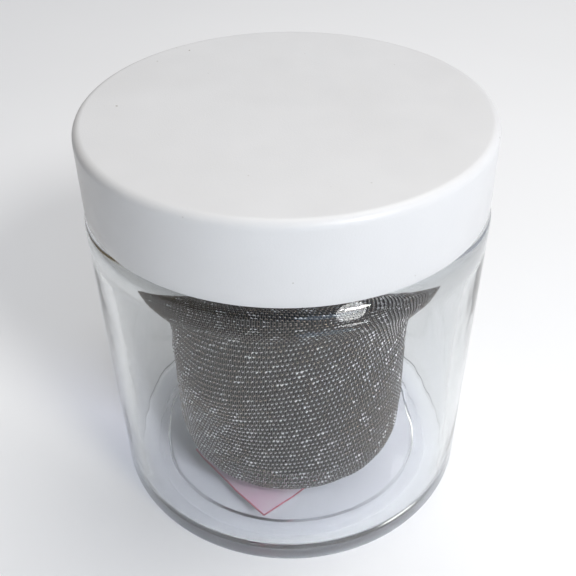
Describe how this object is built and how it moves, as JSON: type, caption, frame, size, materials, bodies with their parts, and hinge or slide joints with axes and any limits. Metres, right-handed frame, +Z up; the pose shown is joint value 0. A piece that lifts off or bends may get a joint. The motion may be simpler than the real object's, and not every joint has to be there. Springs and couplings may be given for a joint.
{
  "type": "soldering tip cleaning jar",
  "caption": "Straight-sided glass jar with a white screw lid, holding a loose knitted wire pad that wipes solder off a soldering iron tip.",
  "frame": {"origin": "centre of the ring that the jar stands on, at table height", "axes": "+Z up the jar's axis, from its base to its lid; +X and +Y are across it"},
  "size_m": [0.0935, 0.0934, 0.1003],
  "materials": {
    "clear_glass": "gloss",
    "white_plastic": "satin",
    "liner_foam": "matte",
    "sleeve_wire": "satin",
    "roll_wire": "satin",
    "pink_film": "satin"
  },
  "bodies": {
    "jar": {"jar": "clear_glass", "antistatic_film": "pink_film"},
    "liner": {"lid_liner": "liner_foam"},
    "lid": {"lid": "white_plastic"},
    "pad": {"mesh_sleeve": "sleeve_wire", "mesh_roll": "roll_wire"}
  },
  "joints": [
    {"name": "lid_rise", "type": "slide", "parent": "jar", "child": "liner", "axis": [0, 0, 1], "range_m": [0, 0.0305]},
    {"name": "lid_turn", "type": "hinge", "parent": "liner", "child": "lid", "pos_m": [0, 0, 0.0984], "axis": [0, 0, 1], "range_deg": [0, 2160]},
    {"name": "pad_lift", "type": "slide", "parent": "jar", "child": "pad", "axis": [0, 0, 1], "range_m": [0, 0.0167]}
  ],
  "couplings": [
    {"joint": "lid_rise", "follows": "lid_turn", "m_per_rad": 0.00080851}
  ]
}
